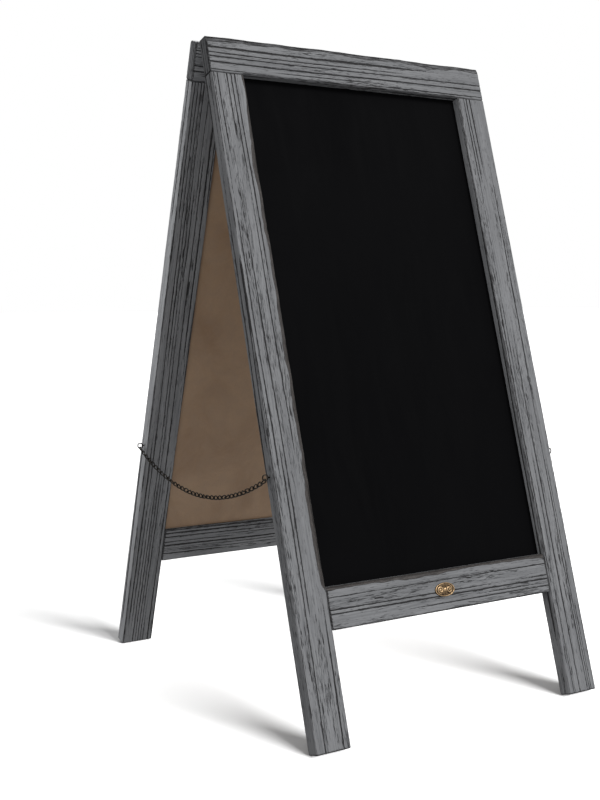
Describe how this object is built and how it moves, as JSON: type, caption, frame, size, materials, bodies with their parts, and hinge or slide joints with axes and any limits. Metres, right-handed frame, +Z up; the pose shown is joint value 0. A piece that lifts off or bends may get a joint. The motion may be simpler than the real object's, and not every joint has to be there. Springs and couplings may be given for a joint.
{
  "type": "sandwich board",
  "caption": "Folding A-frame sandwich board: framed chalkboard panels hinged along the top and tied at each side by a slack chain, standing on the ends of their stiles.",
  "frame": {"origin": "on the floor, midway between the front and rear feet and between the left and right sides, straight below the hinge axis", "axes": "+Z up, +X to the right as seen from the front, -Y towards the viewer of the front board; the hinge axis runs along X"},
  "size_m": [0.5318, 0.6404, 0.9777],
  "materials": {
    "painted_wood": "grey paint over wire-brushed softwood, worn dark in the grain and along the edges",
    "chalkboard": "matte black writing coat",
    "hardboard": "smooth brown tempered hardboard",
    "beech": "plain beech, hidden in the joints",
    "brass": "aged brass with a dark rim",
    "dark_steel": "blackened steel, satin, rubbed bright on high spots"
  },
  "bodies": {
    "front_frame": {"front_left_stile": "painted_wood", "front_right_stile": "painted_wood", "front_top_rail": "painted_wood", "front_bottom_rail": "painted_wood", "front_chalkboard": "chalkboard", "front_backing_board": "hardboard", "front_dowels": "beech", "brass_badge": "brass", "left_hinge_front_leaf": "dark_steel", "right_hinge_front_leaf": "dark_steel", "left_hinge_pin": "dark_steel", "right_hinge_pin": "dark_steel", "front_hinge_screws": "dark_steel", "front_left_screw_eye": "dark_steel", "front_right_screw_eye": "dark_steel"},
    "rear_frame": {"rear_left_stile": "painted_wood", "rear_right_stile": "painted_wood", "rear_top_rail": "painted_wood", "rear_bottom_rail": "painted_wood", "rear_chalkboard": "chalkboard", "rear_backing_board": "hardboard", "rear_dowels": "beech", "left_hinge_rear_leaf": "dark_steel", "right_hinge_rear_leaf": "dark_steel", "rear_hinge_screws": "dark_steel", "rear_left_screw_eye": "dark_steel", "rear_right_screw_eye": "dark_steel"},
    "left_chain_1": {"left_chain_section_1": "dark_steel"},
    "left_chain_2": {"left_chain_section_2": "dark_steel"},
    "left_chain_3": {"left_chain_section_3": "dark_steel"},
    "left_chain_4": {"left_chain_section_4": "dark_steel"},
    "left_chain_5": {"left_chain_section_5": "dark_steel"},
    "left_chain_6": {"left_chain_section_6": "dark_steel"},
    "left_chain_7": {"left_chain_section_7": "dark_steel"},
    "right_chain_1": {"right_chain_section_1": "dark_steel"},
    "right_chain_2": {"right_chain_section_2": "dark_steel"},
    "right_chain_3": {"right_chain_section_3": "dark_steel"},
    "right_chain_4": {"right_chain_section_4": "dark_steel"},
    "right_chain_5": {"right_chain_section_5": "dark_steel"},
    "right_chain_6": {"right_chain_section_6": "dark_steel"},
    "right_chain_7": {"right_chain_section_7": "dark_steel"}
  },
  "joints": [
    {"name": "fold", "type": "hinge", "parent": "front_frame", "child": "rear_frame", "pos_m": [0, 0, 0.96805], "axis": [1, 0, 0], "range_deg": [-34, 0]},
    {"name": "left_chain_joint_1", "type": "hinge", "parent": "front_frame", "child": "left_chain_1", "pos_m": [-0.261, -0.20172, 0.35386], "axis": [1, 0, 0], "range_deg": [-78, 2]},
    {"name": "left_chain_joint_2", "type": "hinge", "parent": "left_chain_1", "child": "left_chain_2", "pos_m": [-0.261, -0.14814, 0.33147], "axis": [1, 0, 0], "range_deg": [-12, 2]},
    {"name": "left_chain_joint_3", "type": "hinge", "parent": "left_chain_2", "child": "left_chain_3", "pos_m": [-0.261, -0.08847, 0.31485], "axis": [1, 0, 0], "range_deg": [-16, 2]},
    {"name": "left_chain_joint_4", "type": "hinge", "parent": "left_chain_3", "child": "left_chain_4", "pos_m": [-0.261, -0.03097, 0.30684], "axis": [1, 0, 0], "range_deg": [-2, 90]},
    {"name": "left_chain_joint_5", "type": "hinge", "parent": "left_chain_4", "child": "left_chain_5", "pos_m": [-0.261, 0.03097, 0.30684], "axis": [1, 0, 0], "range_deg": [-2, 97]},
    {"name": "left_chain_joint_6", "type": "hinge", "parent": "left_chain_5", "child": "left_chain_6", "pos_m": [-0.261, 0.08847, 0.31485], "axis": [1, 0, 0], "range_deg": [-14, 2]},
    {"name": "left_chain_joint_7", "type": "hinge", "parent": "left_chain_6", "child": "left_chain_7", "pos_m": [-0.261, 0.14814, 0.33147], "axis": [1, 0, 0], "range_deg": [-9, 2]},
    {"name": "right_chain_joint_1", "type": "hinge", "parent": "front_frame", "child": "right_chain_1", "pos_m": [0.261, -0.20172, 0.35386], "axis": [1, 0, 0], "range_deg": [-78, 2]},
    {"name": "right_chain_joint_2", "type": "hinge", "parent": "right_chain_1", "child": "right_chain_2", "pos_m": [0.261, -0.14814, 0.33147], "axis": [1, 0, 0], "range_deg": [-12, 2]},
    {"name": "right_chain_joint_3", "type": "hinge", "parent": "right_chain_2", "child": "right_chain_3", "pos_m": [0.261, -0.08847, 0.31485], "axis": [1, 0, 0], "range_deg": [-16, 2]},
    {"name": "right_chain_joint_4", "type": "hinge", "parent": "right_chain_3", "child": "right_chain_4", "pos_m": [0.261, -0.03097, 0.30684], "axis": [1, 0, 0], "range_deg": [-2, 90]},
    {"name": "right_chain_joint_5", "type": "hinge", "parent": "right_chain_4", "child": "right_chain_5", "pos_m": [0.261, 0.03097, 0.30684], "axis": [1, 0, 0], "range_deg": [-2, 97]},
    {"name": "right_chain_joint_6", "type": "hinge", "parent": "right_chain_5", "child": "right_chain_6", "pos_m": [0.261, 0.08847, 0.31485], "axis": [1, 0, 0], "range_deg": [-14, 2]},
    {"name": "right_chain_joint_7", "type": "hinge", "parent": "right_chain_6", "child": "right_chain_7", "pos_m": [0.261, 0.14814, 0.33147], "axis": [1, 0, 0], "range_deg": [-9, 2]}
  ],
  "couplings": [
    {"joint": "left_chain_joint_1", "follows": "fold", "ratio": 2.2277},
    {"joint": "left_chain_joint_2", "follows": "fold", "ratio": 0.2673},
    {"joint": "left_chain_joint_3", "follows": "fold", "ratio": 0.3949},
    {"joint": "left_chain_joint_4", "follows": "fold", "ratio": -2.5703},
    {"joint": "left_chain_joint_5", "follows": "fold", "ratio": -2.7901},
    {"joint": "left_chain_joint_6", "follows": "fold", "ratio": 0.3319},
    {"joint": "left_chain_joint_7", "follows": "fold", "ratio": 0.1766},
    {"joint": "right_chain_joint_1", "follows": "fold", "ratio": 2.2277},
    {"joint": "right_chain_joint_2", "follows": "fold", "ratio": 0.2673},
    {"joint": "right_chain_joint_3", "follows": "fold", "ratio": 0.3949},
    {"joint": "right_chain_joint_4", "follows": "fold", "ratio": -2.5703},
    {"joint": "right_chain_joint_5", "follows": "fold", "ratio": -2.7901},
    {"joint": "right_chain_joint_6", "follows": "fold", "ratio": 0.3319},
    {"joint": "right_chain_joint_7", "follows": "fold", "ratio": 0.1766}
  ]
}
